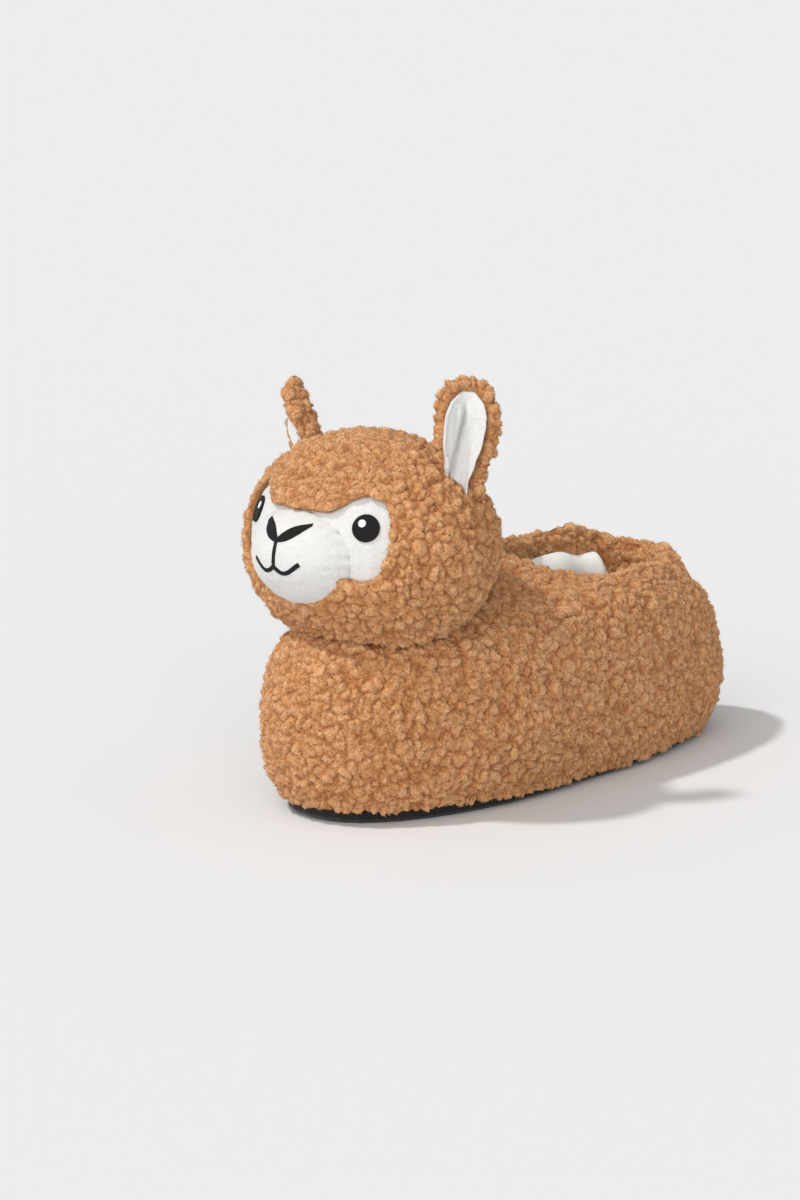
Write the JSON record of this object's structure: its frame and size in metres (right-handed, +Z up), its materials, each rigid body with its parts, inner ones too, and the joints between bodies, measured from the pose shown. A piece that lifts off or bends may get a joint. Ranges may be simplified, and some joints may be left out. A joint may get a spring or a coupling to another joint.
{
  "type": "house slipper",
  "caption": "Plush house slipper shaped as an alpaca: hollow padded body open at the ankle, stuffed head and ears on the toe, thin flat sole.",
  "frame": {"origin": "on the floor under the flat sole, at the middle of the shoe's length and of its heel-to-toe line", "axes": "+Z up, +Y towards the heel, so the toe points along -Y; +X is the outer side of a left foot"},
  "size_m": [0.1386, 0.2862, 0.1922],
  "materials": {
    "curly_fleece": "curly pile, matt",
    "white_plush": "short smooth nap, matt",
    "lining_plush": "soft pile, matt",
    "black_thread": "satin stitch, slight sheen",
    "sole_felt": "felted, matt"
  },
  "bodies": {
    "root": {"upper": "curly_fleece", "collar_roll": "curly_fleece", "head": "curly_fleece", "ear_left": "curly_fleece", "ear_right": "curly_fleece", "snout": "white_plush", "face_patch": "white_plush", "ear_lining_left": "white_plush", "ear_lining_right": "white_plush", "insole": "lining_plush", "eye_left": "black_thread", "eye_right": "black_thread", "nose_and_mouth": "black_thread", "outsole": "sole_felt"}
  },
  "joints": []
}
